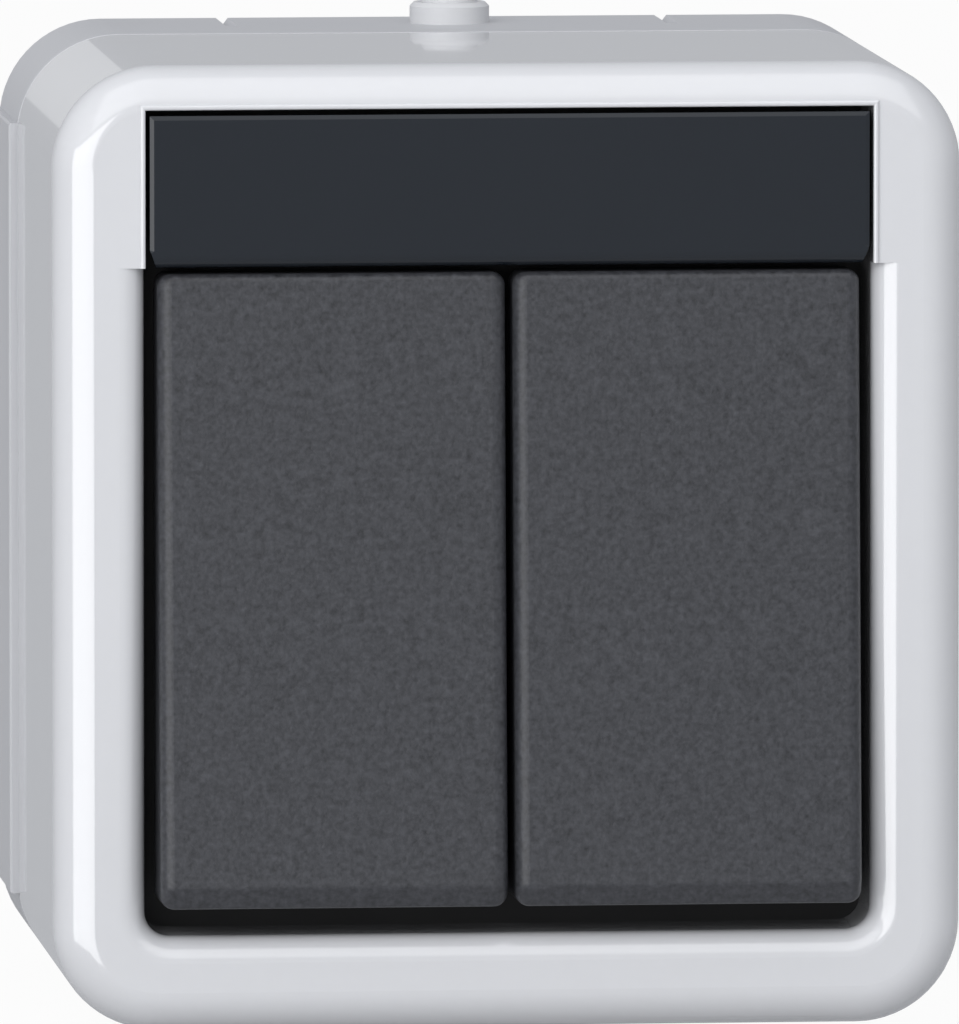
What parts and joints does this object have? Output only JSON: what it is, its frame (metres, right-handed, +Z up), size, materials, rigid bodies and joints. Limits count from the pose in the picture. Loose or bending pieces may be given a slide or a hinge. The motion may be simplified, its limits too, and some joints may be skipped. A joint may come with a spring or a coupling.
{
  "type": "home automation wall switch",
  "caption": "Surface-mounted splash-proof wall switch for home automation: light grey box with tilting anthracite rockers under a dark label window.",
  "frame": {"origin": "middle of the flat rear face that lies on the wall", "axes": "+Y into the wall, so the front faces -Y; +Z up; +X to the right seen from the front"},
  "size_m": [0.0672, 0.054, 0.072],
  "materials": {
    "housing_plastic": "light grey, glossy moulded",
    "rocker_plastic": "anthracite with a fine eroded texture",
    "window_plastic": "dark smoky, smooth",
    "label_card": "dark card, blank",
    "seal_rubber": "soft grey",
    "frame_plastic": "black",
    "key_plastic": "natural white, smooth",
    "light_plastic": "clear red",
    "steel": "zinc plated",
    "board_laminate": "green solder resist",
    "pin_metal": "tinned",
    "terminal_red": "red",
    "terminal_black": "dark grey",
    "can_metal": "sleeved can",
    "ferrite": "dark ferrite"
  },
  "bodies": {
    "housing": {"base_box": "housing_plastic", "front_cover": "housing_plastic", "label_window": "window_plastic", "label_strip": "label_card", "housing_gasket": "seal_rubber", "cable_nipple": "seal_rubber", "key_carrier": "frame_plastic", "insert_housing": "frame_plastic", "key_switches": "frame_plastic", "programming_switch": "frame_plastic", "microcontroller": "frame_plastic", "bus_transceiver": "frame_plastic", "programming_light": "light_plastic", "pivot_rods": "steel", "cover_screws": "steel", "insert_screws": "steel", "circuit_board": "board_laminate", "bus_pins": "pin_metal", "bus_terminal_red": "terminal_red", "bus_terminal_black": "terminal_black", "capacitor": "can_metal", "choke_coil": "ferrite"},
    "left_rocker": {"left_rocker": "rocker_plastic"},
    "right_rocker": {"right_rocker": "rocker_plastic"},
    "programming_button": {"programming_button": "key_plastic"},
    "key_upper_left": {"plunger_upper_left": "key_plastic", "switch_stem_upper_left": "key_plastic"},
    "key_lower_left": {"plunger_lower_left": "key_plastic", "switch_stem_lower_left": "key_plastic"},
    "key_upper_right": {"plunger_upper_right": "key_plastic", "switch_stem_upper_right": "key_plastic"},
    "key_lower_right": {"plunger_lower_right": "key_plastic", "switch_stem_lower_right": "key_plastic"}
  },
  "joints": [
    {"name": "left_rocker_tilt", "type": "hinge", "parent": "housing", "child": "left_rocker", "pos_m": [0, -0.0465, -0.00295], "axis": [1, 0, 0], "range_deg": [-2, 2], "stiffness_Nm_per_rad": 0.5},
    {"name": "upper_left_key_travel", "type": "slide", "parent": "housing", "child": "key_upper_left", "axis": [0, 1, 0], "range_m": [-0.0005, 0.0005]},
    {"name": "lower_left_key_travel", "type": "slide", "parent": "housing", "child": "key_lower_left", "axis": [0, 1, 0], "range_m": [-0.0005, 0.0005]},
    {"name": "right_rocker_tilt", "type": "hinge", "parent": "housing", "child": "right_rocker", "pos_m": [0, -0.0465, -0.00295], "axis": [1, 0, 0], "range_deg": [-2, 2], "stiffness_Nm_per_rad": 0.5},
    {"name": "upper_right_key_travel", "type": "slide", "parent": "housing", "child": "key_upper_right", "axis": [0, 1, 0], "range_m": [-0.0005, 0.0005]},
    {"name": "lower_right_key_travel", "type": "slide", "parent": "housing", "child": "key_lower_right", "axis": [0, 1, 0], "range_m": [-0.0005, 0.0005]},
    {"name": "programming_button_press", "type": "slide", "parent": "housing", "child": "programming_button", "axis": [0, -1, 0], "range_m": [0, 0.0005], "stiffness_N_per_m": 800}
  ],
  "couplings": [
    {"joint": "upper_left_key_travel", "follows": "left_rocker_tilt", "m_per_rad": -0.014},
    {"joint": "lower_left_key_travel", "follows": "left_rocker_tilt", "m_per_rad": 0.014},
    {"joint": "upper_right_key_travel", "follows": "right_rocker_tilt", "m_per_rad": -0.014},
    {"joint": "lower_right_key_travel", "follows": "right_rocker_tilt", "m_per_rad": 0.014}
  ]
}
